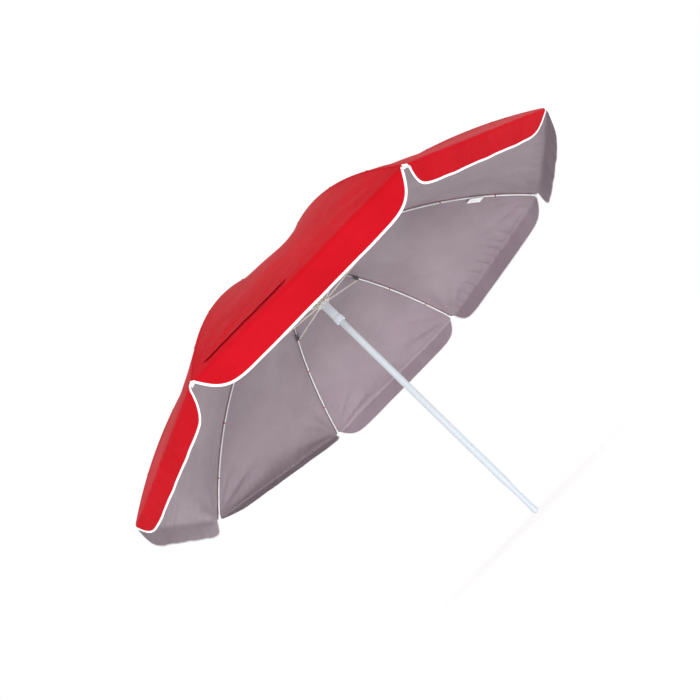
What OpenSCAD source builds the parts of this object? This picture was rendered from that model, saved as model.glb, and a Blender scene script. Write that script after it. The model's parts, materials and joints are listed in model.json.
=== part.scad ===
// Beach umbrella: canopy, folding frame and the upper pole section.
// The pole's axis is Z. Z = 0 is the lower end of the tube, where it sits on the lower pole.

/* [Canopy] */
// Distance from the pole's axis to a rib's end
tip_radius = 835; // [640:5:1000]
// Height of the crown pivots above the rib ends
crown_rise = 334; // [270:1:400]
// How far a rib bows above the straight line between its ends
rib_bow = 77; // [60:1:95]
// Thickness of the cloth
cloth_t = 1.2; // [0.8:0.1:2]
// Gap between a rib's centre line and the cloth, at the rib's two ends and middle
cloth_lift = 5.6; // [5.3:0.1:8]
// Depth of the valance below the hem
valance_drop = 67; // [40:1:90]
// Gap between the cloth on one rib and the cloth on the next
panel_gap = 0.4; // [0.3:0.1:1]

/* [Pole] */
// Outer diameter of the pole tube
pole_d = 22; // [18:0.5:26]
// Wall of the pole tube
pole_wall = 1; // [0.8:0.1:1.5]
// Height of the crown pivots above the tube's lower end
pole_len = 935; // [870:5:1200]
// Length of the spigot below the tube
spigot_len = 115; // [80:1:160]
// Length of the spigot inside the tube
spigot_grip = 60; // [40:1:90]
// Radial gap between the spigot and the lower pole's bore
spigot_gap = 0.25; // [0.2:0.05:0.5]

/* [Ribs and stretchers] */
// Diameter of the steel inner rib
inner_d = 4; // [3:0.1:4.4]
// Diameter of the glass-fibre outer rib
outer_d = 5; // [4:0.1:5.4]
// Distance from the pole's axis to the rib clips, along the rib
clip_radius = 384; // [330:1:430]
// Depth of a clip's pivot below the rib's centre line
clip_drop = 12.7; // [11:0.1:18]
// Width of a stretcher
stretcher_w = 3.6; // [3:0.1:4.4]
// Height of a stretcher
stretcher_h = 4; // [3:0.1:5]
// Diameter of a rib's end cap
cap_d = 8; // [7:0.1:10]

/* [Crown and runner] */
// Outer diameter of the crown and runner rings
ring_d = 48; // [46:0.5:60]
// Distance from the pole's axis to the wire that the ribs hang on
pivot_r = 20; // [18:0.5:21]
// Diameter of the pivot wires and of the clip pins
wire_d = 1.6; // [1.2:0.1:2]
// Height of the runner's notched ring
runner_ring_h = 15; // [12:0.5:20]
// Outer diameter of the runner's sleeve
sleeve_d = 28.5; // [27:0.5:34]
// Distance from the runner's pivots to the lower end of its sleeve
sleeve_reach = 86; // [50:1:110]
// Radial gap between the runner and the pole
slide_gap = 0.3; // [0.2:0.05:0.5]

/* [Hidden] */
$fn = 64;
BIG_FN = 360;
RIBS = 8;
HALF = 180 / RIBS;
SEAT = 0.05;
FREE = 0.3;
LABEL_RIB = 3;
CATCH_AZIMUTH = 157.5;

// The rib is one arc through the crown pivot and the rib's end.
crown_z = pole_len;
tip_z = crown_z - crown_rise;
chord = norm([tip_radius - pivot_r, crown_rise]);
chord_down = atan2(crown_rise, tip_radius - pivot_r);
bow_r = (chord * chord / 4 + rib_bow * rib_bow) / (2 * rib_bow);
bow_half = asin(chord / 2 / bow_r);
bow_x = (pivot_r + tip_radius) / 2 - (bow_r - rib_bow) * sin(chord_down);
bow_z = (crown_z + tip_z) / 2 - (bow_r - rib_bow) * cos(chord_down);
end_angle = chord_down + bow_half;
clip_angle = angle_at(clip_radius);

// The clip pivots lie half-way in height between the crown's and the runner's.
clip_pivot = on_rib(clip_angle, -clip_drop);
runner_z = 2 * clip_pivot[1] - crown_z;
stretcher_len = norm([clip_pivot[0] - pivot_r, clip_pivot[1] - runner_z]);
stretcher_up = atan2(clip_pivot[1] - runner_z, clip_pivot[0] - pivot_r);

// Sizes that follow from the ones above.
pole_r = pole_d / 2;
pole_bore = pole_r - pole_wall;
spigot_r = pole_bore - spigot_gap;
plug_r = pole_bore - SEAT;
eye_r = 3.2;
eye_t = 2.4;
tongue_t = 2;
tongue_len = 12;
eye_hole_r = wire_d / 2 + FREE;
slot_in = pivot_r - eye_r - 1.2;
crown_below = 8;
crown_above = cloth_lift + cloth_t + 1.2;
crown_top = crown_z + crown_above;
washer_d = 68;
washer_t = 1.2;
clip_len = 30;
clip_d = outer_d + 4;
ear_t = 1.6;
ear_gap = tongue_t + 2 * FREE;
sleeve_bottom = runner_z - sleeve_reach;
collar_h = 16;
collar_t = 1.5;
cloth_start = 26;
hem_x = tip_radius * cos(HALF);
tip_y = tip_radius * sin(HALF);
label_len = 40;
label_w = 20;
label_t = 0.6;
label_from_tip = 145;
catch_top = sleeve_bottom - 2;
catch_w = 2.6;
catch_nose = 4;
catch_run = 20;
catch_leg = 60;

// The gore's surface is a cylinder across the middle of the panel, through three points over the rib.
gore_a = over_rib(angle_at(cloth_start));
gore_b = over_rib(angle_at((cloth_start + tip_radius) / 2));
gore_c = over_rib(end_angle);
gore = circle_through(gore_a, gore_b, gore_c);

// Angle from the vertical, about the rib's centre of curvature, at distance r from the pole.
function angle_at(r) = asin((r - bow_x) / bow_r);
// Point at that angle, lifted off the rib's centre line.
function on_rib(a, lift = 0) = [bow_x + (bow_r + lift) * sin(a), bow_z + (bow_r + lift) * cos(a)];
// The same point, seen in the plane through the middle of a panel.
function over_rib(a) = [on_rib(a, cloth_lift)[0] * cos(HALF), on_rib(a, cloth_lift)[1]];
// Centre and radius of the circle through three points.
function circle_through(p, q, s) =
    let (
        d = 2 * ((q[0] - p[0]) * (s[1] - p[1]) - (s[0] - p[0]) * (q[1] - p[1])),
        m = q * q - p * p,
        n = s * s - p * p,
        x = (m * (s[1] - p[1]) - n * (q[1] - p[1])) / d,
        y = (n * (q[0] - p[0]) - m * (s[0] - p[0])) / d
    ) [x, y, norm([p[0] - x, p[1] - y])];
// Height of a gore's surface at distance x from the pole, in the middle of the panel.
function gore_z(x, lift) = gore[1] + sqrt(pow(gore[2] + lift, 2) - pow(x - gore[0], 2));

// Turns a piece drawn over the X axis to its rib.
module at_rib(i) {
    rotate([0, 0, (i - 1) * 360 / RIBS])
        children();
}

// A rod of diameter d along the rib, between two angles.
module bowed_rod(d, from, to) {
    translate([bow_x, 0, bow_z])
        rotate([90, 0, 0])
            rotate([0, 0, 90 - to])
                rotate_extrude(angle = to - from, $fn = BIG_FN)
                    translate([bow_r, 0])
                        circle(d = d, $fn = 32);
}

// A disc across the rib's plane, about a pivot at distance x and height z.
module across(x, z, r, w) {
    translate([x, 0, z])
        rotate([90, 0, 0])
            cylinder(r = r, h = w, center = true);
}

// A wire ring about the pole.
module wire_ring(z, d) {
    translate([0, 0, z])
        rotate_extrude($fn = BIG_FN)
            translate([pivot_r, 0])
                circle(d = d, $fn = 32);
}

// A notched ring that holds the pivot wire, between two heights.
module notched_ring(z, low, high, bore, slot_w) {
    difference() {
        translate([0, 0, z - low])
            cylinder(d = ring_d, h = low + high);
        translate([0, 0, z - low - 1])
            cylinder(r = bore, h = low + high + 2);
        wire_ring(z, wire_d + 2 * SEAT);
        for (i = [1:RIBS])
            at_rib(i)
                translate([slot_in, -slot_w / 2, z - low - 1])
                    cube([ring_d, slot_w, low + high + 2]);
    }
}

module pole_tube() {
    color([0.84, 0.86, 0.9])
        difference() {
            cylinder(r = pole_r, h = crown_top);
            translate([0, 0, -1])
                cylinder(r = pole_bore, h = crown_top + 2);
            rotate([0, 0, CATCH_AZIMUTH])
                translate([0, -catch_w / 2 - FREE, catch_top - catch_run - 6])
                    cube([pole_d, catch_w + 2 * FREE, catch_run + 8]);
        }
}

module pole_spigot() {
    color([0.9, 0.92, 0.95]) {
        translate([0, 0, spigot_r - spigot_len])
            cylinder(r = spigot_r, h = spigot_len - spigot_r + 1);
        cylinder(r = plug_r, h = spigot_grip);
        translate([0, 0, spigot_r - spigot_len])
            sphere(r = spigot_r);
    }
}

module crown_hub() {
    color([0.78, 0.77, 0.72])
        notched_ring(crown_z, crown_below, crown_above, pole_r + SEAT, inner_d + 1);
}

module crown_wire() {
    color([0.6, 0.6, 0.62])
        wire_ring(crown_z, wire_d);
}

module crown_washer() {
    color([0.95, 0.95, 0.95])
        translate([0, 0, crown_top])
            difference() {
                cylinder(d = washer_d, h = washer_t);
                translate([0, 0, -1])
                    cylinder(r = pole_bore, h = washer_t + 2);
            }
}

module top_cap() {
    plug_len = 20;
    brim_h = 3;
    dome_r = 12;
    color([0.95, 0.95, 0.95]) {
        translate([0, 0, crown_top - plug_len])
            cylinder(r = plug_r, h = plug_len + washer_t + brim_h);
        translate([0, 0, crown_top + washer_t])
            cylinder(r = dome_r + 3, h = brim_h);
        translate([0, 0, crown_top + washer_t + brim_h - SEAT])
            intersection() {
                cylinder(r = dome_r, h = 2 * dome_r);
                sphere(r = dome_r);
            }
    }
}

// A bent strip: a leg inside the tube and a nose that stands out below the runner.
module catch_spring() {
    leg_x = pole_bore - 3;
    leg_t = 1;
    foot_x = pole_bore - 0.2;
    nose_low = catch_top - catch_run;
    foot = catch_top - catch_leg;
    color([0.7, 0.7, 0.72])
        rotate([0, 0, CATCH_AZIMUTH])
            translate([0, catch_w / 2, 0])
                rotate([90, 0, 0])
                    linear_extrude(catch_w)
                        polygon([
                            [leg_x, foot],
                            [foot_x, foot],
                            [foot_x, foot + leg_t],
                            [leg_x + leg_t, foot + leg_t + 1],
                            [leg_x + leg_t, nose_low],
                            [pole_r + catch_nose, catch_top - leg_t],
                            [pole_r + catch_nose, catch_top],
                            [leg_x + leg_t, catch_top],
                            [leg_x, catch_top - leg_t]
                        ]);
}

module runner_ring() {
    color([0.73, 0.7, 0.66])
        notched_ring(runner_z, runner_ring_h / 2, runner_ring_h / 2, pole_r + slide_gap, tongue_t + 1);
}

module runner_sleeve() {
    top = runner_z - runner_ring_h / 2;
    color([0.92, 0.92, 0.9])
        difference() {
            union() {
                translate([0, 0, sleeve_bottom])
                    cylinder(d = sleeve_d, h = top - sleeve_bottom);
                translate([0, 0, sleeve_bottom])
                    cylinder(d = sleeve_d + 2 * collar_t, h = collar_h);
                translate([0, 0, sleeve_bottom + collar_h])
                    cylinder(d1 = sleeve_d + 2 * collar_t, d2 = sleeve_d, h = 2 * collar_t);
            }
            translate([0, 0, sleeve_bottom - 1])
                cylinder(r = pole_r + slide_gap, h = top - sleeve_bottom + 2);
        }
}

module runner_wire() {
    color([0.6, 0.6, 0.62])
        wire_ring(runner_z, wire_d);
}

// The eye on the crown's wire, and the rod as far as the middle of the clip.
module rib_inner() {
    color([0.45, 0.45, 0.47])
        difference() {
            union() {
                across(pivot_r, crown_z, eye_r, eye_t);
                bowed_rod(inner_d, angle_at(pivot_r + 2), clip_angle);
            }
            across(pivot_r, crown_z, eye_hole_r, 2 * eye_r);
        }
}

module rib_outer() {
    color([0.95, 0.95, 0.95])
        bowed_rod(outer_d, clip_angle, end_angle);
}

// A sleeve over the joint in the rib, with two ears and a pin for the stretcher.
module rib_clip() {
    half_angle = clip_len / 2 / bow_r * 180 / PI;
    pin_w = 2 * ear_t + ear_gap;
    ear_w = 2 * eye_r - 1;
    color([0.25, 0.25, 0.27]) {
        difference() {
            union() {
                bowed_rod(clip_d, clip_angle - half_angle, clip_angle + half_angle);
                translate([clip_pivot[0], 0, clip_pivot[1]])
                    rotate([0, clip_angle, 0])
                        translate([-ear_w / 2, -pin_w / 2, 0])
                            cube([ear_w, pin_w, clip_drop - clip_d / 4]);
                across(clip_pivot[0], clip_pivot[1], eye_r, pin_w);
            }
            bowed_rod(outer_d + 2 * SEAT, clip_angle - 2 * half_angle, clip_angle + 2 * half_angle);
            translate([clip_pivot[0], 0, clip_pivot[1]])
                rotate([0, clip_angle, 0])
                    translate([-3 * eye_r, -ear_gap / 2, -2 * eye_r])
                        cube([6 * eye_r, ear_gap, 2 * eye_r + clip_drop - clip_d / 2 - 1]);
        }
        across(clip_pivot[0], clip_pivot[1], wire_d / 2, pin_w + 1.2);
    }
}

// A cap over the rib's end, with a bar that the cloth's corner is sewn to and a thin nose.
module tip_cap() {
    grip = 14;
    head = 4;
    bar_l = 16;
    wall = 1.5;
    nose_d = 3;
    nose_l = 13;
    color([0.97, 0.97, 0.97])
        translate([tip_radius, 0, tip_z])
            rotate([0, end_angle, 0])
                difference() {
                    union() {
                        rotate([0, 90, 0]) {
                            translate([0, 0, -grip])
                                cylinder(d = cap_d, h = grip + head);
                            cylinder(d = nose_d, h = nose_l);
                        }
                        translate([nose_l, 0, 0])
                            sphere(d = nose_d);
                        translate([head / 2, 0, 0])
                            rotate([90, 0, 0])
                                cylinder(d = cap_d - 2 * wall, h = bar_l, center = true);
                        for (side = [-1, 1])
                            translate([head / 2, side * bar_l / 2, 0])
                                sphere(d = cap_d - 2 * wall);
                    }
                    rotate([0, 90, 0])
                        translate([0, 0, -grip - 1])
                            cylinder(d = outer_d + 2 * FREE, h = grip + 1.1);
                }
}

// A channel with a flat tongue and a hole at each end.
module stretcher() {
    body_len = stretcher_len - 2 * tongue_len;
    color([0.68, 0.66, 0.64])
        translate([pivot_r, 0, runner_z])
            rotate([0, -stretcher_up, 0])
                difference() {
                    union() {
                        translate([tongue_len, -stretcher_w / 2, -stretcher_h / 2])
                            cube([body_len, stretcher_w, stretcher_h]);
                        translate([0, -tongue_t / 2, -eye_r + 0.8])
                            cube([stretcher_len, tongue_t, 2 * eye_r - 1.6]);
                        across(0, 0, eye_r, tongue_t);
                        across(stretcher_len, 0, eye_r, tongue_t);
                    }
                    across(0, 0, eye_hole_r, 2 * tongue_t);
                    across(stretcher_len, 0, eye_hole_r, 2 * tongue_t);
                    translate([tongue_len + 6, -stretcher_w / 4, -stretcher_h])
                        cube([body_len - 12, stretcher_w / 2, stretcher_h]);
                }
}

// Turns a piece from the panel's own frame to both sides of the rib.
module both_sides() {
    for (side = [-1, 1])
        rotate([0, 0, side * HALF])
            children();
}

// Everything below one panel's surface, in the panel's own frame.
module under_gore(lift, width) {
    translate([gore[0], 0, gore[1]])
        rotate([90, 0, 0])
            cylinder(r = gore[2] + lift, h = width, center = true, $fn = BIG_FN);
}

// Everything below the ridge that two panels make along their rib.
module under_ridge(lift, width) {
    intersection() {
        rotate([0, 0, -HALF])
            under_gore(lift, width);
        rotate([0, 0, HALF])
            under_gore(lift, width);
    }
}

// The space between the middles of the two panels beside the rib.
module panel_wedge() {
    reach = tip_radius * 1.2;
    apex = panel_gap / 2 / sin(HALF);
    linear_extrude(2 * crown_z)
        polygon([
            [apex, 0],
            [apex + reach * cos(HALF), -reach * sin(HALF)],
            [apex + reach * cos(HALF), reach * sin(HALF)]
        ]);
}

// The strip that hangs from one panel's hem, with a round shoulder at the rib's end.
// It is drawn in the panel's own frame, for the half of the panel on the side of the rib.
module valance(side) {
    top = gore_z(hem_x, cloth_t) - 0.2;
    inset = tip_y - valance_drop;
    translate([hem_x - cloth_t, 0, top])
        rotate([90, 0, 90])
            linear_extrude(cloth_t)
                intersection() {
                    union() {
                        translate([-inset, -valance_drop])
                            square([2 * inset, valance_drop]);
                        for (end = [-1, 1])
                            translate([end * inset, 0])
                                circle(r = valance_drop, $fn = BIG_FN);
                    }
                    translate([-tip_y + side * tip_y, -valance_drop - 1])
                        square([2 * tip_y, valance_drop + 1]);
                }
}

// The cloth carried by one rib: half of the panel on each side of it.
module canopy() {
    color([0.8, 0.12, 0.16])
        difference() {
            intersection() {
                union() {
                    difference() {
                        under_ridge(cloth_t, 2 * tip_radius);
                        under_ridge(0, 3 * tip_radius);
                        both_sides()
                            translate([hem_x, -2 * tip_radius, -crown_z])
                                cube(4 * tip_radius);
                    }
                    rotate([0, 0, -HALF])
                        valance(1);
                    rotate([0, 0, HALF])
                        valance(-1);
                }
                panel_wedge();
            }
            cylinder(r = cloth_start, h = 2 * crown_z);
            translate([tip_radius, 0, tip_z])
                rotate([0, end_angle + 90, 0])
                    cylinder(d = cap_d + 2 * FREE, h = 60, center = true);
        }
}

// A blank patch under the cloth, beside its rib.
module care_label() {
    color([0.95, 0.95, 0.94])
        rotate([0, 0, HALF])
            intersection() {
                difference() {
                    under_gore(-SEAT, tip_radius);
                    under_gore(-SEAT - label_t, 2 * tip_radius);
                }
                rotate([0, 0, -HALF])
                    translate([tip_radius - label_from_tip - label_len, clip_d / 2, tip_z])
                        cube([label_len, label_w, crown_rise]);
            }
}

pole_tube();
pole_spigot();
crown_hub();
crown_wire();
crown_washer();
top_cap();
catch_spring();
runner_ring();
runner_sleeve();
runner_wire();
at_rib(LABEL_RIB) care_label();
for (i = [1:RIBS]) {
    at_rib(i) rib_inner();
    at_rib(i) rib_outer();
    at_rib(i) rib_clip();
    at_rib(i) tip_cap();
    at_rib(i) stretcher();
    at_rib(i) canopy();
}
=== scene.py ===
import json
import math

import bpy
import numpy as np
from mathutils import Matrix, Vector


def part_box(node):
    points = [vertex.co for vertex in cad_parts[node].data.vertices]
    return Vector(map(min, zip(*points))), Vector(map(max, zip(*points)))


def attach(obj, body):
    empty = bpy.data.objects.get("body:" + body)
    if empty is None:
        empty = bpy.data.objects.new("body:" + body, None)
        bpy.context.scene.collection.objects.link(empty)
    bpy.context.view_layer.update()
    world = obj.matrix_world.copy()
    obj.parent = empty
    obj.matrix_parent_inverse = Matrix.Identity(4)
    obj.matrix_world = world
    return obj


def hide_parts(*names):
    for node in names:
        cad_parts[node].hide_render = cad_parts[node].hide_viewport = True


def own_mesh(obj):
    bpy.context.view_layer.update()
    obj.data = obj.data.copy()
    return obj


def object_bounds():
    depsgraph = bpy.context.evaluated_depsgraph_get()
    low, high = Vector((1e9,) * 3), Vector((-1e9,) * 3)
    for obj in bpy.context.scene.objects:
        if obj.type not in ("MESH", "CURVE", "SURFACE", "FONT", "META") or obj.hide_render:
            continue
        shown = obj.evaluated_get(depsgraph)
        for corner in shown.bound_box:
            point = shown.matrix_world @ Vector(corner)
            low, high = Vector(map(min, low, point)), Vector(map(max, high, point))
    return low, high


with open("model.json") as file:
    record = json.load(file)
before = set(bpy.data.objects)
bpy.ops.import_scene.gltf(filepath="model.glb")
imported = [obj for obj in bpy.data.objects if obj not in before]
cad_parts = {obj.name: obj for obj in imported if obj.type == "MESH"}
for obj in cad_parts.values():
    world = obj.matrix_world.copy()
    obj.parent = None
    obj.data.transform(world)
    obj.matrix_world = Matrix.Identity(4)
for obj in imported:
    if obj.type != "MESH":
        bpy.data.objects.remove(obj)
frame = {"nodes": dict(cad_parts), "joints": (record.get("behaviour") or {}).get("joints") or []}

CAD_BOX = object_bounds()

# Driving sizes, in metres, as in the CAD model.
RIBS = 8
STEP = 2 * math.pi / RIBS
TIP_R = 0.835
CROWN_RISE = 0.334
RIB_BOW = 0.077
FOLD_JOINT = next(j for j in frame["joints"] if j["name"] == "rib_fold_1")
PIVOT_R = FOLD_JOINT["pos_m"][0]
CROWN_Z = FOLD_JOINT["pos_m"][2]
TIP_Z = CROWN_Z - CROWN_RISE

# The cloth: its thickness, its height over the rib's arc, its hole at the crown, its sag between ribs.
CLOTH_T = 0.0005
CLOTH_LIFT = 0.0056
CLOTH_START_R = 0.026
PANEL_SAG = 0.019

# The valance: its depth in the middle and at the rib ends, how far from a rib's end it widens, and
# the length over which the cloth turns down at the hem.
VALANCE_DROP = 0.073
VALANCE_END = 0.0012
SHOULDER = 0.033
HEM_ROUND = 0.016

# What is sewn on it.
BINDING_W = 0.0050
BINDING_T = 0.0007
BINDING_WRAP = 0.0006
SEAM_W = 0.009
SEAM_T = 0.0018
WEAVE_PITCH = 0.0011
STITCH_PITCH = 0.0036
THREAD_RELIEF = 0.0002
LABEL_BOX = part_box("care_label")
LABEL_RIB = 2
TUCKED_PANEL = 7

# Mesh density.
HALF_COLUMNS = 64
GORE_ROWS = 64
VALANCE_ROWS = 12

# One value for each panel, counted from the first rib. The first three lists were fitted to the
# edges in the photograph and rounded; the rest were chosen one by one.
# How far the valance swings outwards from hanging straight down, in degrees.
SWING = (-57, -20, -14, -13, -60, 15, -5, -14)
# How far the middle of the hem sags inwards, and how much deeper the valance is cut.
HEM_SAG = (0.0, 0.010, 0.002, 0.0, 0.0, 0.0, 0.0, 0.0)
CUT_DEEPER = (-0.002, 0.004, 0.001, 0.0, 0.0, -0.004, -0.004, 0.005)
# Height of the gathers along the hem, and of the folds that fan out from the rib ends.
PLEAT_HEIGHT = (0.0007, 0.0012, 0.0040, 0.0022, 0.0012, 0.0016, 0.0007, 0.0007)
FAN_HEIGHT = (0.0012, 0.0022, 0.0042, 0.0060, 0.0052, 0.0024, 0.0010, 0.0010)
# Height of the loose waves along the valance's free edge.
FLUTE_HEIGHT = (0.0009, 0.0012, 0.0007, 0.0009, 0.0018, 0.0014, 0.0009, 0.0006)

# The rib is one arc through the crown pivot and the rib's end.
CHORD = math.hypot(TIP_R - PIVOT_R, CROWN_RISE)
CHORD_DOWN = math.atan2(CROWN_RISE, TIP_R - PIVOT_R)
BOW_R = (CHORD * CHORD / 4 + RIB_BOW * RIB_BOW) / (2 * RIB_BOW)
BOW_X = (PIVOT_R + TIP_R) / 2 - (BOW_R - RIB_BOW) * math.sin(CHORD_DOWN)
BOW_Z = (CROWN_Z + TIP_Z) / 2 - (BOW_R - RIB_BOW) * math.cos(CHORD_DOWN)
END_ANGLE = CHORD_DOWN + math.asin(CHORD / 2 / BOW_R)
START_ANGLE = math.asin((CLOTH_START_R - BOW_X) / BOW_R)
GORE_LENGTH = (END_ANGLE - START_ANGLE) * BOW_R
HALF_STEP_SIN = math.sin(STEP / 2)
HALF_HEM = TIP_R * HALF_STEP_SIN


# ---------------------------------------------------------------- camera, lights and floor

def make_camera():
    """The camera of the photograph; its place and its three axes were fitted to the photograph."""
    data = bpy.data.cameras.new("camera")
    data.lens = 41.965
    data.sensor_width = 36.0
    data.clip_end = 50.0
    camera = bpy.data.objects.new("camera", data)
    bpy.context.collection.objects.link(camera)
    right = Vector((0.09534, 0.71712, -0.69040))
    up = Vector((0.42800, 0.59664, 0.67884))
    back = Vector((0.89873, -0.36022, -0.25004))
    place = Vector((2.20842, -0.93246, -0.01452))
    turn = Matrix((right, up, back)).transposed().to_4x4()
    camera.matrix_world = Matrix.Translation(place) @ turn
    bpy.context.scene.camera = camera


def area_light(name, place, target, size, power):
    data = bpy.data.lights.new(name, "AREA")
    data.shape = "DISK"
    data.size = size
    data.energy = power
    light = bpy.data.objects.new(name, data)
    bpy.context.collection.objects.link(light)
    light.location = place
    light.rotation_euler = (Vector(target) - Vector(place)).to_track_quat("-Z", "Y").to_euler()


def sun_light(name, heading, strength, spread):
    """Parallel light that travels along heading, through the floor, which casts no shadow."""
    data = bpy.data.lights.new(name, "SUN")
    data.energy = strength
    data.angle = spread
    lamp = bpy.data.objects.new(name, data)
    lamp.rotation_euler = Vector(heading).to_track_quat("-Z", "Y").to_euler()
    bpy.context.collection.objects.link(lamp)


def make_lights():
    world = bpy.data.worlds.new("studio")
    bpy.context.scene.world = world
    world.use_nodes = True
    sky = world.node_tree.nodes["Background"]
    sky.inputs["Color"].default_value = (1.0, 1.0, 1.0, 1.0)
    sky.inputs["Strength"].default_value = 1.0
    middle = (0.0, 0.0, 0.7)
    area_light("top_light", (2.4, -1.8, 4.2), middle, size=3.0, power=32)
    area_light("fill_light", (-1.0, 3.6, 1.8), middle, size=3.0, power=15)
    sun_light("front_light", (-0.89, 0.40, 0.20), strength=1.8, spread=math.radians(12))
    view = bpy.context.scene.view_settings
    view.view_transform = "Standard"
    view.look = "None"


def make_floor():
    """A plain pale floor just under the object; the front light passes through it."""
    half, gap = 30.0, 0.001
    height = float(CAD_BOX[0][2]) - gap
    mesh = bpy.data.meshes.new("floor")
    corners = [(-half, -half, height), (half, -half, height), (half, half, height), (-half, half, height)]
    mesh.from_pydata(corners, [], [(0, 1, 2, 3)])
    floor = bpy.data.objects.new("floor", mesh)
    bpy.context.collection.objects.link(floor)
    material, nodes, links, shader = new_material("floor_paint")
    shader.inputs["Base Color"].default_value = (0.85, 0.85, 0.85, 1.0)
    shader.inputs["Roughness"].default_value = 1.0
    shader.inputs["Specular IOR Level"].default_value = 0.0
    shader.inputs["Emission Color"].default_value = (1.0, 1.0, 1.0, 1.0)
    shader.inputs["Emission Strength"].default_value = 0.45
    mesh.materials.append(material)
    floor.visible_shadow = False


# ---------------------------------------------------------------- material helpers

def new_material(name):
    material = bpy.data.materials.new(name)
    material.use_nodes = True
    nodes = material.node_tree.nodes
    shader = next(n for n in nodes if n.type == "BSDF_PRINCIPLED")
    return material, nodes, material.node_tree.links, shader


def math_node(nodes, links, operation, a, b=None, c=None):
    node = nodes.new("ShaderNodeMath")
    node.operation = operation
    for socket, value in zip(node.inputs, (a, b, c)):
        if value is None:
            continue
        if isinstance(value, (int, float)):
            socket.default_value = value
        else:
            links.new(value, socket)
    return node.outputs[0]


def noise_node(nodes, links, vector, scale, detail=3.0, roughness=0.55):
    node = nodes.new("ShaderNodeTexNoise")
    node.inputs["Scale"].default_value = scale
    node.inputs["Detail"].default_value = detail
    node.inputs["Roughness"].default_value = roughness
    links.new(vector, node.inputs["Vector"])
    return node.outputs["Fac"]


def colour_ramp(nodes, links, value, stops):
    node = nodes.new("ShaderNodeValToRGB")
    ramp = node.color_ramp
    while len(ramp.elements) < len(stops):
        ramp.elements.new(0.5)
    for element, (place, colour) in zip(ramp.elements, stops):
        element.position = place
        element.color = (*colour, 1.0)
    links.new(value, node.inputs["Fac"])
    return node.outputs["Color"]


def range_node(nodes, links, value, low, high):
    """Maps 0..1 to low..high."""
    node = nodes.new("ShaderNodeMapRange")
    node.inputs["To Min"].default_value = low
    node.inputs["To Max"].default_value = high
    links.new(value, node.inputs["Value"])
    return node.outputs["Result"]


def bump_node(nodes, links, height, strength, distance, before=None):
    node = nodes.new("ShaderNodeBump")
    node.inputs["Strength"].default_value = strength
    node.inputs["Distance"].default_value = distance
    links.new(height, node.inputs["Height"])
    if before is not None:
        links.new(before, node.inputs["Normal"])
    return node.outputs["Normal"]


def coordinates(nodes, output="Object"):
    return nodes.new("ShaderNodeTexCoord").outputs[output]


def uv_axes(nodes, links):
    split = nodes.new("ShaderNodeSeparateXYZ")
    links.new(coordinates(nodes, "UV"), split.inputs[0])
    return split.outputs[0], split.outputs[1]


def weave_height(nodes, links):
    """Plain weave: two sets of threads that pass over and under, from UVs in metres."""
    x, y = uv_axes(nodes, links)
    turn = 2 * math.pi / WEAVE_PITCH
    across = math_node(nodes, links, "SINE", math_node(nodes, links, "MULTIPLY", x, turn))
    along = math_node(nodes, links, "SINE", math_node(nodes, links, "MULTIPLY", y, turn))
    crossed = math_node(nodes, links, "MULTIPLY", across, along)
    return math_node(nodes, links, "MULTIPLY_ADD", crossed, 0.5, 0.5)


# ---------------------------------------------------------------- materials

def cloth_material(name, dark, light, roughness, gloss, sheen, crease):
    """Coated polyester: fine weave, soft creases from being folded, and slightly uneven colour."""
    material, nodes, links, shader = new_material(name)
    place = coordinates(nodes)
    broad = noise_node(nodes, links, place, 5.0, 4.0)
    links.new(colour_ramp(nodes, links, broad, [(0.3, dark), (0.7, light)]), shader.inputs["Base Color"])
    fine = noise_node(nodes, links, place, 60.0, 3.0)
    uneven = range_node(nodes, links, fine, roughness - 0.06, roughness + 0.06)
    links.new(uneven, shader.inputs["Roughness"])
    shader.inputs["Sheen Weight"].default_value = sheen
    shader.inputs["Sheen Roughness"].default_value = 0.4
    shader.inputs["Specular IOR Level"].default_value = gloss
    creases = noise_node(nodes, links, place, 14.0, 5.0, 0.6)
    soft = bump_node(nodes, links, creases, crease, 0.006)
    weave = bump_node(nodes, links, weave_height(nodes, links), 0.12, THREAD_RELIEF, soft)
    links.new(weave, shader.inputs["Normal"])
    return material


def stitch_mask(nodes, links, x, y, row, half_width):
    """1 on a row of stitches that runs along x at y = row, and 0 elsewhere."""
    stitch_share = 0.72
    phase = math_node(nodes, links, "FRACT", math_node(nodes, links, "DIVIDE", x, STITCH_PITCH))
    in_stitch = math_node(nodes, links, "LESS_THAN", phase, stitch_share)
    off_row = math_node(nodes, links, "ABSOLUTE", math_node(nodes, links, "SUBTRACT", y, row))
    on_row = math_node(nodes, links, "LESS_THAN", off_row, half_width)
    return math_node(nodes, links, "MULTIPLY", in_stitch, on_row)


def seam_material(name, base, shade, thread):
    """A felled seam in the canopy's cloth, with a row of stitches near each edge."""
    material, nodes, links, shader = new_material(name)
    across, down = uv_axes(nodes, links)
    off_middle = math_node(nodes, links, "ABSOLUTE", across)
    stitch = stitch_mask(nodes, links, down, off_middle, row=SEAM_W * 0.33, half_width=0.0004)
    soil = noise_node(nodes, links, coordinates(nodes), 30.0, 4.0)
    cloth = colour_ramp(nodes, links, soil, [(0.25, shade), (0.55, base)])
    mix = nodes.new("ShaderNodeMix")
    mix.data_type = "RGBA"
    mix.inputs["B"].default_value = (*thread, 1.0)
    links.new(stitch, mix.inputs["Factor"])
    links.new(cloth, mix.inputs["A"])
    links.new(mix.outputs["Result"], shader.inputs["Base Color"])
    shader.inputs["Roughness"].default_value = 0.65
    shader.inputs["Specular IOR Level"].default_value = 0.07
    height = math_node(nodes, links, "MULTIPLY_ADD", stitch, 2.0, weave_height(nodes, links))
    links.new(bump_node(nodes, links, height, 0.35, THREAD_RELIEF), shader.inputs["Normal"])
    return material


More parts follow.
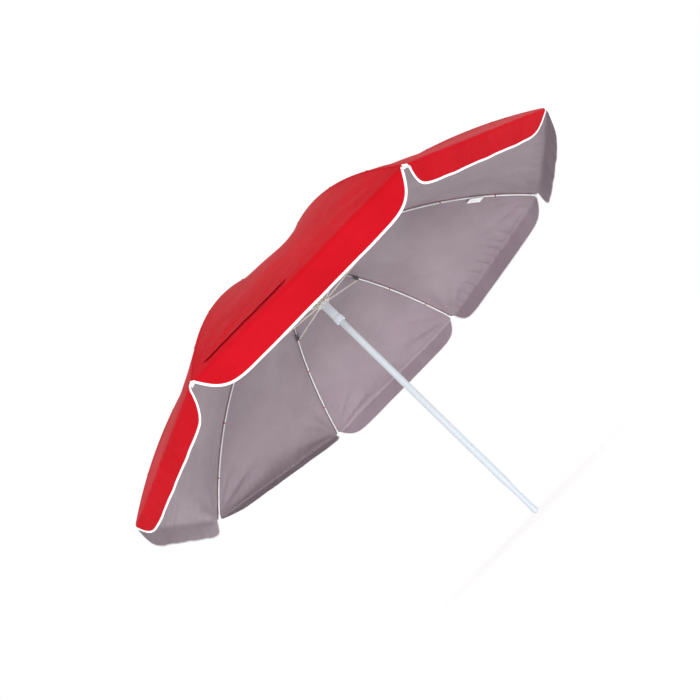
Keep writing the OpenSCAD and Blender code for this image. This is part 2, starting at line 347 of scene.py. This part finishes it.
def tape_material(name, base, shade):
    """Twill tape: a fine diagonal rib, and one row of stitches near its inner edge."""
    twill_pitch, from_edge = 0.0012, 0.0022
    material, nodes, links, shader = new_material(name)
    x, y = uv_axes(nodes, links)
    diagonal = math_node(nodes, links, "ADD", x, y)
    turns = math_node(nodes, links, "MULTIPLY", diagonal, 2 * math.pi / twill_pitch)
    rib = math_node(nodes, links, "SINE", turns)
    stitch = stitch_mask(nodes, links, x, y, row=BINDING_W - from_edge, half_width=0.0005)
    soil = noise_node(nodes, links, coordinates(nodes), 12.0, 4.0)
    tone = math_node(nodes, links, "MULTIPLY_ADD", stitch, -0.35, soil)
    links.new(colour_ramp(nodes, links, tone, [(0.1, shade), (0.6, base)]), shader.inputs["Base Color"])
    shader.inputs["Roughness"].default_value = 0.75
    shader.inputs["Sheen Weight"].default_value = 0.3
    height = math_node(nodes, links, "MULTIPLY_ADD", stitch, 2.0, rib)
    links.new(bump_node(nodes, links, height, 0.35, THREAD_RELIEF), shader.inputs["Normal"])
    return material


def moulded_material(name, base, shade, roughness, grain=0.15, coat=0.0):
    """Moulded plastic: fine grain and slight drift of colour and gloss."""
    material, nodes, links, shader = new_material(name)
    place = coordinates(nodes)
    drift = noise_node(nodes, links, place, 25.0, 4.0)
    links.new(colour_ramp(nodes, links, drift, [(0.35, shade), (0.65, base)]), shader.inputs["Base Color"])
    fine = noise_node(nodes, links, place, 900.0, 2.0)
    uneven = range_node(nodes, links, drift, roughness - 0.05, roughness + 0.08)
    links.new(uneven, shader.inputs["Roughness"])
    shader.inputs["Coat Weight"].default_value = coat
    shader.inputs["Coat Roughness"].default_value = 0.15
    links.new(bump_node(nodes, links, fine, grain, 0.0002), shader.inputs["Normal"])
    return material


def painted_tube_material(name, base, shade, roughness, coat):
    """Enamel on a drawn steel tube: faint draw lines along it, light scuffs, a clear top coat."""
    material, nodes, links, shader = new_material(name)
    place = coordinates(nodes)
    stretch = nodes.new("ShaderNodeMapping")
    stretch.inputs["Scale"].default_value = (160.0, 160.0, 2.0)
    links.new(place, stretch.inputs["Vector"])
    draw = noise_node(nodes, links, stretch.outputs["Vector"], 1.0, 3.0)
    scuff = noise_node(nodes, links, place, 45.0, 6.0, 0.7)
    links.new(colour_ramp(nodes, links, scuff, [(0.25, shade), (0.5, base)]), shader.inputs["Base Color"])
    uneven = range_node(nodes, links, scuff, roughness + 0.12, roughness - 0.05)
    links.new(uneven, shader.inputs["Roughness"])
    shader.inputs["Coat Weight"].default_value = coat
    shader.inputs["Coat Roughness"].default_value = 0.12
    links.new(bump_node(nodes, links, draw, 0.05, 0.0001), shader.inputs["Normal"])
    return material


def steel_material(name, base, shade, roughness, metallic):
    """Plated or painted steel: patches of duller tone and a fine grain."""
    material, nodes, links, shader = new_material(name)
    place = coordinates(nodes)
    patches = noise_node(nodes, links, place, 70.0, 5.0, 0.65)
    links.new(colour_ramp(nodes, links, patches, [(0.3, shade), (0.7, base)]), shader.inputs["Base Color"])
    uneven = range_node(nodes, links, patches, roughness - 0.1, roughness + 0.12)
    links.new(uneven, shader.inputs["Roughness"])
    shader.inputs["Metallic"].default_value = metallic
    fine = noise_node(nodes, links, place, 600.0, 2.0)
    links.new(bump_node(nodes, links, fine, 0.15, 0.0002), shader.inputs["Normal"])
    return material


def make_materials():
    return {
        "red": cloth_material(
            "red_cloth", (0.36, 0.001, 0.006), (0.43, 0.002, 0.009),
            roughness=0.6, gloss=0.05, sheen=0.0, crease=0.9,
        ),
        "seam": seam_material(
            "red_seam", (0.43, 0.001, 0.007), (0.36, 0.001, 0.005), thread=(0.50, 0.015, 0.025),
        ),
        "silver": cloth_material(
            "silver_coating", (0.230, 0.178, 0.204), (0.280, 0.224, 0.254),
            roughness=0.42, gloss=0.35, sheen=0.1, crease=0.7,
        ),
        "tape": tape_material("white_tape", (0.86, 0.86, 0.87), (0.68, 0.68, 0.70)),
        "label": tape_material("label_satin", (0.86, 0.86, 0.85), (0.70, 0.70, 0.70)),
        "thread": moulded_material("red_thread", (0.36, 0.003, 0.010), (0.26, 0.002, 0.008), 0.8),
        "pole": painted_tube_material("pole_enamel", (0.54, 0.59, 0.63), (0.51, 0.56, 0.60), 0.35, 0.2),
        "spigot": painted_tube_material("spigot_polish", (0.54, 0.59, 0.63), (0.50, 0.55, 0.59), 0.25, 0.3),
        # Painted light: the sleeve is given a lighter colour than the pole, though both are the same white,
        # to make up for the shade the canopy casts on it.
        "sleeve": moulded_material("sleeve_plastic_painted_light", (0.78, 0.84, 0.89), (0.73, 0.79, 0.84), 0.4),
        "ivory": moulded_material("ivory_plastic", (0.70, 0.67, 0.58), (0.62, 0.59, 0.50), 0.5),
        "white": moulded_material("white_plastic", (0.84, 0.85, 0.86), (0.76, 0.77, 0.78), 0.42),
        "dark": moulded_material("dark_plastic", (0.12, 0.115, 0.125), (0.08, 0.077, 0.084), 0.5),
        "rib_white": moulded_material(
            "glass_fibre", (0.80, 0.80, 0.80), (0.68, 0.68, 0.68), 0.38, grain=0.1, coat=0.2,
        ),
        "rib_steel": steel_material("zinc_rib", (0.60, 0.59, 0.60), (0.46, 0.45, 0.47), 0.45, 0.35),
        "stretcher": steel_material("stretcher_enamel", (0.88, 0.85, 0.78), (0.78, 0.75, 0.68), 0.5, 0.0),
        "wire": steel_material("bright_wire", (0.55, 0.55, 0.56), (0.42, 0.42, 0.43), 0.3, 1.0),
    }


CAD_LOOKS = {
    "pole_tube": "pole", "pole_spigot": "spigot", "crown_hub": "ivory", "crown_wire": "wire",
    "crown_washer": "white", "top_cap": "white", "catch_spring": "wire", "runner_ring": "ivory",
    "runner_sleeve": "sleeve", "runner_wire": "wire", "rib_inner": "rib_steel", "rib_outer": "rib_white",
    "rib_clip": "dark", "tip_cap": "white", "stretcher": "stretcher",
}


def dress_cad_nodes(looks):
    """Each CAD node that stays visible gets its procedural material."""
    for name, node in frame["nodes"].items():
        family = name.rstrip("0123456789").rstrip("_")
        if family in CAD_LOOKS:
            node.data.materials.clear()
            node.data.materials.append(looks[CAD_LOOKS[family]])


# ---------------------------------------------------------------- the canopy's surface

def rib_section(angle, lift):
    """Distance from the pole's axis and height of a point that lies lift above the rib's arc."""
    return BOW_X + (BOW_R + lift) * np.sin(angle), BOW_Z + (BOW_R + lift) * np.cos(angle)


def direction(azimuth):
    return np.array([math.cos(azimuth), math.sin(azimuth), 0.0])


def smooth(x):
    """Rises from 0 at x = 0 to 1 at x = 1, level at both ends."""
    x = np.clip(x, 0, 1)
    return x * x * (3 - 2 * x)


def gore_rows():
    """Share of the rib's length at each row, closer together towards the hem."""
    s = np.linspace(0, 1, GORE_ROWS + 1)
    return 1 - (1 - s) ** 1.25


def gore_points(k, u, t, wrinkled=True):
    """Points of the gore between ribs k and k + 1: u is -1 to 1 across it, t is 0 to 1 along the rib."""
    r, z = rib_section(START_ANGLE + (END_ANGLE - START_ANGLE) * t, CLOTH_LIFT)
    left, right = direction(k * STEP), direction((k + 1) * STEP)
    middle = direction((k + 0.5) * STEP)
    share = (u + 1) / 2
    flat = r[..., None] * ((1 - share)[..., None] * left + share[..., None] * right)
    flat[..., 2] = z
    bow = 1 - u * u
    sag = PANEL_SAG * np.sin(math.pi * t ** 0.85) + HEM_SAG[k] * t ** 6
    inward = -0.35 * middle + np.array([0, 0, -0.94])
    points = flat + (bow * sag)[..., None] * inward
    if wrinkled:
        points = points + (gore_wrinkles(k, u, t, r) * bow ** 0.5)[..., None] * -inward
    return points


def columns():
    return np.linspace(-1, 1, 2 * HALF_COLUMNS + 1)[:, None]


def gather(k, x):
    """Irregular narrow pleats across the hem; x is the distance along it in metres."""
    drift_pitch, narrow_pitch, wide_pitch = 0.31, 0.046, 0.079
    a, b, c = np.random.default_rng(100 + k).uniform(0, 2 * math.pi, 3)
    drift = np.sin(2 * math.pi * x / drift_pitch + a)
    narrow = 1 / (1 + (2.4 * np.sin(math.pi * x / narrow_pitch + b + drift)) ** 2)
    wide = 1 / (1 + (2.0 * np.sin(math.pi * x / wide_pitch + c)) ** 2)
    return 1.5 * narrow + 0.7 * wide - 0.8


def gore_wrinkles(k, u, t, r):
    """Height of a gore's wrinkles: pleats above the hem, fans from the rib ends, soft waves."""
    pleat_middle, pleat_spread = 0.018, 0.036
    folds_in_fan, fan_middle, fan_spread = 13, 0.13, 0.11
    wave_height, wave_pitch = 0.0018, 0.17
    x = u * r * HALF_STEP_SIN
    from_hem = (1 - t) * (END_ANGLE - START_ANGLE) * BOW_R
    pleats = PLEAT_HEIGHT[k] * gather(k, x) * np.exp(-((from_hem - pleat_middle) / pleat_spread) ** 2)
    fans = 0.0
    for side in (-1, 1):
        along = HALF_HEM - side * x
        reach = np.hypot(along, from_hem)
        angle = np.arctan2(from_hem, along + 1e-6)
        fold = np.cos(angle * folds_in_fan + k * 1.7 + side)
        fold = fold * np.exp(-((reach - fan_middle) / fan_spread) ** 2)
        fold = fold * smooth((reach - 0.02) / 0.09)
        fans = fans + FAN_HEIGHT[k] * fold
    p, q = np.random.default_rng(200 + k).uniform(0, 2 * math.pi, 2)
    across = np.sin(2 * math.pi * x / wave_pitch + p + 2.2 * t)
    down = np.sin(2 * math.pi * t * 2.3 + q + 3 * u)
    waves = wave_height * across * np.sin(math.pi * t) ** 1.5
    waves = waves + wave_height * down * np.sin(math.pi * t) ** 1.2
    return pleats + fans + waves


def valance_depth(k, from_tip):
    """Depth of a valance at a distance from the nearer rib's end: it widens quickly, then stays level."""
    reach = np.maximum(from_tip, 0) / SHOULDER
    full = VALANCE_DROP + CUT_DEEPER[k]
    return VALANCE_END + (full - VALANCE_END) * (1 - np.exp(-reach ** 1.2))


def valance_surface(k, hem, above, wrinkled=True):
    """Points that hang from the gore's hem; hem is its last row and above the row before it."""
    x = columns()[:, 0] * HALF_HEM
    depth = valance_depth(k, HALF_HEM - np.abs(x))
    outward = direction((k + 0.5) * STEP)
    slope = hem - above
    start = np.arctan2(-slope[:, 2], slope @ outward)
    hang = math.pi / 2 - math.radians(SWING[k])
    rows = [hem]
    for i in range(VALANCE_ROWS):
        down = (i + 0.5) / VALANCE_ROWS * depth
        angle = start + (hang - start) * smooth(down / HEM_ROUND)
        step = np.cos(angle)[:, None] * outward + np.sin(angle)[:, None] * np.array([0, 0, -1.0])
        rows.append(rows[-1] + (depth / VALANCE_ROWS)[:, None] * step)
    points = np.stack(rows[1:], axis=1)
    if wrinkled:
        pitch, second_pitch, calm_length = 0.131, 0.071, 0.08
        share = (np.arange(1, VALANCE_ROWS + 1) / VALANCE_ROWS)[None, :]
        window = smooth((HALF_HEM - np.abs(x)) / calm_length)[:, None]
        p, q = np.random.default_rng(300 + k).uniform(0, 2 * math.pi, 2)
        flutes = np.sin(2 * math.pi * x / pitch + p) + 0.5 * np.sin(2 * math.pi * x / second_pitch + q)
        height = FLUTE_HEIGHT[k] * flutes[:, None] * share
        points = points + (height * window)[..., None] * outward
    return points


def panel_points(k, wrinkled=True):
    """Points of gore and valance together, [column, row, xyz]; pleats at the hem fade out below it."""
    gore = gore_points(k, columns(), gore_rows()[None, :], wrinkled)
    plain = gore_points(k, columns(), gore_rows()[None, -2:], False)
    hanging = valance_surface(k, plain[:, 1], plain[:, 0], wrinkled)
    fade = (1 - np.arange(1, VALANCE_ROWS + 1) / VALANCE_ROWS) ** 1.5
    pleats = gore[:, -1] - plain[:, 1]
    hanging = hanging + pleats[:, None] * fade[None, :, None]
    return np.concatenate([gore, hanging], axis=1)


def grid_normals(points):
    """Unit normals of a grid of points, on the side that faces up in its upper middle."""
    across = np.gradient(points, axis=0)
    along = np.gradient(points, axis=1)
    normal = np.cross(across, along)
    size = np.linalg.norm(normal, axis=2, keepdims=True)
    normal = normal / np.maximum(size, 1e-12)
    middle = normal[normal.shape[0] // 2, normal.shape[1] // 3]
    return normal if middle[2] > 0 else -normal


def grid_uvs(points):
    """UVs in metres: distance across from the middle column, and distance down each column."""
    across = np.linalg.norm(np.diff(points, axis=0), axis=2)
    across = np.concatenate([np.zeros((1, points.shape[1])), np.cumsum(across, axis=0)])
    across = across - across[points.shape[0] // 2]
    down = np.linalg.norm(np.diff(points, axis=1), axis=2)
    down = np.concatenate([np.zeros((points.shape[0], 1)), np.cumsum(down, axis=1)], axis=1)
    return np.stack([across, down], axis=2)


def new_piece(name, vertices, faces, materials, face_materials=None, uvs=None, normals=None):
    """A mesh object; uvs and normals are given for each vertex."""
    mesh = bpy.data.meshes.new(name)
    mesh.from_pydata([tuple(v) for v in vertices], [], faces)
    for material in materials:
        mesh.materials.append(material)
    if face_materials is not None:
        mesh.polygons.foreach_set("material_index", face_materials)
    if uvs is not None:
        layer = mesh.uv_layers.new(name="UVMap")
        corner = np.zeros(len(mesh.loops), np.int32)
        mesh.loops.foreach_get("vertex_index", corner)
        layer.data.foreach_set("uv", np.asarray(uvs, np.float32)[corner].ravel())
    mesh.polygons.foreach_set("use_smooth", [True] * len(mesh.polygons))
    mesh.update()
    if normals is not None:
        mesh.normals_split_custom_set_from_vertices([tuple(n) for n in normals])
    piece = bpy.data.objects.new(name, mesh)
    bpy.context.collection.objects.link(piece)
    return piece


def two_layer_sheet(name, points, normals, outside, inside, thickness=CLOTH_T):
    """A closed thin sheet with its own material on each side."""
    count, rows = points.shape[:2]
    outer = points + normals * thickness / 2
    inner = points - normals * thickness / 2
    index = np.arange(count * rows).reshape(count, rows)
    shift = count * rows
    a, b, c, d = index[:-1, :-1], index[1:, :-1], index[1:, 1:], index[:-1, 1:]
    quads = np.stack([a, b, c, d], axis=2).reshape(-1, 4)
    first = points[1, 1] - points[0, 1]
    second = points[0, 2] - points[0, 1]
    flip = np.dot(np.cross(first, second), normals[0, 1]) < 0
    top = quads[:, ::-1] if flip else quads
    bottom = top[:, ::-1] + shift
    rim_loop = np.concatenate([index[:, 0], index[-1, 1:], index[-2::-1, -1], index[0, -2:0:-1]])
    following = np.roll(rim_loop, -1)
    rim = np.stack([rim_loop, following, following + shift, rim_loop + shift], axis=1)
    rim = rim if flip else rim[:, ::-1]
    faces = np.concatenate([top, bottom, rim])
    kinds = [0] * len(top) + [1] * len(bottom) + [0] * len(rim)
    uv = grid_uvs(points).reshape(-1, 2)
    vertices = np.concatenate([outer.reshape(-1, 3), inner.reshape(-1, 3)])
    vertex_normals = np.concatenate([normals.reshape(-1, 3), -normals.reshape(-1, 3)])
    return new_piece(
        name, vertices, faces.tolist(), [outside, inside], kinds,
        np.concatenate([uv, uv]), vertex_normals,
    )


def rib_grid(arrays, i):
    """The half panels on both sides of rib i, joined along it, where their values are averaged."""
    before, after = arrays[(i - 1) % RIBS], arrays[i]
    seam = (before[-1] + after[0]) / 2
    left, right = before[HALF_COLUMNS:-1], after[1:HALF_COLUMNS + 1]
    return np.concatenate([left, seam[None], right], axis=0)


def fold_with_rib(piece, i):
    """The piece moves with rib i."""
    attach(piece, f"rib_{i + 1}")
    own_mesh(piece)


def cloth_beside_rib(i, across, t):
    """Points of the cloth at a distance across from rib i, for shares t of the rib's length."""
    r, _ = rib_section(START_ANGLE + (END_ANGLE - START_ANGLE) * t, CLOTH_LIFT)
    share = np.abs(across) / (r * HALF_STEP_SIN)
    before = gore_points((i - 1) % RIBS, 1 - share, t)
    after = gore_points(i, share - 1, t)
    return np.where((across < 0)[..., None], before, after)


def make_seam(i, looks):
    """The felled seam along rib i: a raised strip outside and its allowance inside."""
    first, last = 0.004, 0.994
    across = np.linspace(-1, 1, 9)[:, None] * SEAM_W / 2
    t = np.linspace(first, last, 90)[None, :]
    points = cloth_beside_rib(i, across, t)
    normals = grid_normals(points)
    return two_layer_sheet(f"seam_{i + 1}", points, normals, looks["seam"], looks["silver"], SEAM_T)


def make_label(looks):
    """A blank woven label, sewn into the seam and passed under the rib."""
    before_rib, after_rib, level_part = 0.007, 0.027, 0.003
    under_rib, free_end, thickness = CLOTH_LIFT + 0.0038, 0.0035, 0.0006
    reach = (float(LABEL_BOX[0][1]), float(LABEL_BOX[1][1]))
    angles = [math.asin((r - BOW_X) / BOW_R) for r in reach]
    t = (np.linspace(*angles, 15)[None, :] - START_ANGLE) / (END_ANGLE - START_ANGLE)
    across = np.linspace(-before_rib, after_rib, 30)[:, None]
    cloth = cloth_beside_rib(LABEL_RIB, across, t)
    rise = smooth((across - level_part) / (after_rib - level_part))
    drop = under_rib + (free_end - under_rib) * rise
    points = cloth - grid_normals(cloth) * drop[..., None]
    normals = grid_normals(points)
    label = two_layer_sheet("rib_label", points, normals, looks["label"], looks["label"], thickness)
    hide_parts("care_label")
    return label


def make_tuck(looks):
    """A pleat pressed into the hem of one panel, from near its first rib to the middle."""
    k = TUCKED_PANEL
    first, last, middle, length, fade_share = -0.88, -0.07, -0.475, 0.81, 0.12
    above_hem, height, lift_at_fold, lift_at_lip = 0.028, 0.011, 0.0004, 0.0026
    u = np.linspace(first, last, 60)[:, None]
    fade = smooth((1 - np.abs(2 * (u - middle) / length)) / fade_share)
    down = np.linspace(0, 1, 7)[None, :]
    t = 1 - (above_hem - height * down * (0.35 + 0.65 * fade)) / GORE_LENGTH
    cloth = gore_points(k, u, t)
    lift = (lift_at_fold + lift_at_lip * down ** 1.5) * (0.2 + 0.8 * fade)
    points = cloth + grid_normals(cloth) * lift[..., None]
    return two_layer_sheet(f"tuck_{k + 1}", points, grid_normals(points), looks["red"], looks["red"])


def make_ties(i, looks):
    """Turns of thread that tie the seam to rib i, at three places."""
    places, turns, points_a_turn = (0.30, 0.62, 0.84), 4, 20
    length, above, below, half_width, thread_radius = 0.0034, 0.0042, 0.0062, 0.0034, 0.00045
    pieces = []
    for number, share in enumerate(places):
        angle = START_ANGLE + (END_ANGLE - START_ANGLE) * share
        x, z = rib_section(angle, CLOTH_LIFT / 2)
        path = []
        for step in range(turns * points_a_turn + 1):
            a = 2 * math.pi * step / points_a_turn
            along = (step / (turns * points_a_turn) - 0.5) * length
            out = above * math.cos(a) if math.cos(a) > 0 else below * math.cos(a)
            side = half_width * math.sin(a)
            radial = x + along * math.cos(angle) + out * math.sin(angle)
            height = z - along * math.sin(angle) + out * math.cos(angle)
            path.append((radial, side, height))
        name = f"tie_{i + 1}_{number + 1}"
        pieces.append(tube_along(name, turned(path, i * STEP), thread_radius, looks["thread"]))
    return pieces


def turned(path, azimuth):
    """Points drawn over the X axis, turned about the pole's axis."""
    c, s = math.cos(azimuth), math.sin(azimuth)
    return [(x * c - y * s, x * s + y * c, z) for x, y, z in path]


def tube_along(name, path, radius, material, sides=6):
    """A round closed tube along a path."""
    path = np.array(path)
    along = np.gradient(path, axis=0)
    along /= np.linalg.norm(along, axis=1, keepdims=True)
    aside = np.cross(along, along[0] + np.array([0.31, 0.17, 0.9]))
    aside /= np.linalg.norm(aside, axis=1, keepdims=True)
    above = np.cross(along, aside)
    ring = np.arange(sides) * 2 * math.pi / sides
    offsets = np.cos(ring)[None, :, None] * aside[:, None] + np.sin(ring)[None, :, None] * above[:, None]
    vertices = (path[:, None] + radius * offsets).reshape(-1, 3)
    faces = [tuple(range(sides))[::-1], tuple((len(path) - 1) * sides + j for j in range(sides))]
    for i in range(len(path) - 1):
        for j in range(sides):
            a, b = i * sides + j, i * sides + (j + 1) % sides
            faces.append((a, b, b + sides, a + sides))
    return new_piece(name, vertices, faces, [material])


def band_along(name, edge, inward, normal, width, thickness, material):
    """A tape folded over an edge: edge points, directions into the cloth, and the cloth's normals."""
    wrap = BINDING_WRAP
    section = [
        (-wrap, 0.0), (-wrap * 0.5, 0.8), (width * 0.12, 1.0), (width * 0.9, 1.0), (width, 0.45),
        (width, -0.45), (width * 0.9, -1.0), (width * 0.12, -1.0), (-wrap * 0.5, -0.8),
    ]
    count, ring = len(edge), len(section)
    vertices, uvs = [], []
    along = np.concatenate([[0], np.cumsum(np.linalg.norm(np.diff(edge, axis=0), axis=1))])
    for p, d, n, x in zip(edge, inward, normal, along):
        for y, side in section:
            vertices.append(p + d * y + n * side * (thickness + CLOTH_T / 2))
            uvs.append((x, y))
    faces = []
    for i in range(count - 1):
        for j in range(ring):
            a, b = i * ring + j, i * ring + (j + 1) % ring
            faces.append((a, b, b + ring, a + ring))
    faces.append(tuple(range(ring))[::-1])
    faces.append(tuple((count - 1) * ring + j for j in range(ring)))
    return new_piece(name, vertices, faces, [material], None, uvs)


def make_binding(i, points, normals, looks):
    """White tape on the lower edge of the valance beside rib i."""
    edge = points[:, -1]
    along = np.gradient(edge, axis=0)
    along /= np.linalg.norm(along, axis=1, keepdims=True)
    normal = normals[:, -1]
    up = np.cross(normal, along)
    up /= np.linalg.norm(up, axis=1, keepdims=True)
    towards = points[:, -4] - edge
    up *= np.sign((up * towards).sum(axis=1))[:, None]
    return band_along(f"binding_{i + 1}", edge, up, normal, BINDING_W, BINDING_T, looks["tape"])


def make_canopy(looks):
    """One cloth for each rib, with its tape, seam and ties."""
    points = [panel_points(k) for k in range(RIBS)]
    normals = [grid_normals(p) for p in points]
    plain = [panel_points(k, wrinkled=False) for k in range(RIBS)]
    for i in range(RIBS):
        grid = rib_grid(points, i)
        normal = rib_grid(normals, i)
        normal /= np.linalg.norm(normal, axis=2, keepdims=True)
        cloth = two_layer_sheet(f"canopy_cloth_{i + 1}", grid, normal, looks["red"], looks["silver"])
        binding = make_binding(i, grid, normal, looks)
        seam = make_seam(i, looks)
        extras = [binding, seam]
        if i == LABEL_RIB:
            extras.append(make_label(looks))
        if i == TUCKED_PANEL:
            extras.append(make_tuck(looks))
        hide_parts(f"canopy_{i + 1}")
        for piece in [cloth, *extras]:
            fold_with_rib(piece, i)
        for tie in make_ties(i, looks):
            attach(tie, f"rib_{i + 1}")


def main():
    make_camera()
    make_lights()
    make_floor()
    looks = make_materials()
    dress_cad_nodes(looks)
    make_canopy(looks)


main()
